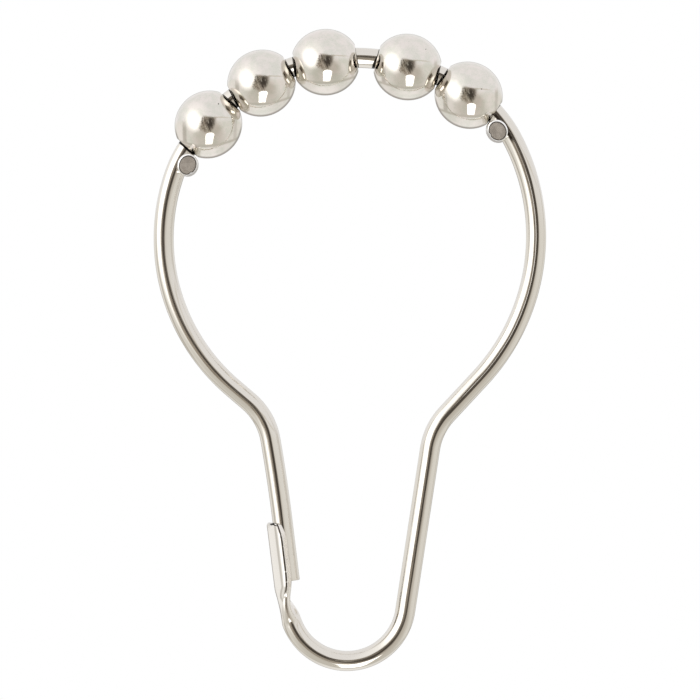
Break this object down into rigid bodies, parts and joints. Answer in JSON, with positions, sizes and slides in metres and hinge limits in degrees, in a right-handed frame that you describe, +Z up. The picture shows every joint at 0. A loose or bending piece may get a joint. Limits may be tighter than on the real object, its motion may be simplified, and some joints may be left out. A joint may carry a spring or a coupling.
{
  "type": "shower curtain hook",
  "caption": "Pear-shaped spring-wire shower curtain hook with roller beads on its ring, welded stop pins and a rolled catch that holds the free leg.",
  "frame": {"origin": "middle of the ring that goes round the curtain rod, on the wire's own plane", "axes": "+Z up as the hook hangs on a rod, +X to the right seen from the front, and +Y through the ring along the rod"},
  "size_m": [0.0432, 0.0072, 0.0706],
  "materials": {
    "wire_nickel": "bright nickel plate on drawn steel wire, with faint draw lines",
    "bead_nickel": "polished nickel plate on pressed steel balls, with a few small pits",
    "pin_nickel": "nickel plate with dull grey cut ends"
  },
  "bodies": {
    "hook": {"hook_wire": "wire_nickel", "left_stop_pin": "pin_nickel", "right_stop_pin": "pin_nickel"},
    "bead_1": {"roller_bead_1": "bead_nickel"},
    "bead_2": {"roller_bead_2": "bead_nickel"},
    "bead_3": {"roller_bead_3": "bead_nickel"},
    "bead_4": {"roller_bead_4": "bead_nickel"},
    "bead_5": {"roller_bead_5": "bead_nickel"}
  },
  "joints": [
    {"name": "bead_1_spin", "type": "hinge", "parent": "hook", "child": "bead_1", "pos_m": [-0.01557, 0, 0.01276], "axis": [0.6715, 0, 0.741], "continuous": true},
    {"name": "bead_2_spin", "type": "hinge", "parent": "hook", "child": "bead_2", "pos_m": [-0.00973, 0, 0.01731], "axis": [0.8828, 0, 0.4698], "continuous": true},
    {"name": "bead_3_spin", "type": "hinge", "parent": "hook", "child": "bead_3", "pos_m": [-0.0027, 0, 0.01961], "axis": [0.9897, 0, 0.1433], "continuous": true},
    {"name": "bead_4_spin", "type": "hinge", "parent": "hook", "child": "bead_4", "pos_m": [0.00632, 0, 0.01908], "axis": [0.9665, 0, -0.2565], "continuous": true},
    {"name": "bead_5_spin", "type": "hinge", "parent": "hook", "child": "bead_5", "pos_m": [0.01304, 0, 0.01598], "axis": [0.8218, 0, -0.5698], "continuous": true}
  ]
}
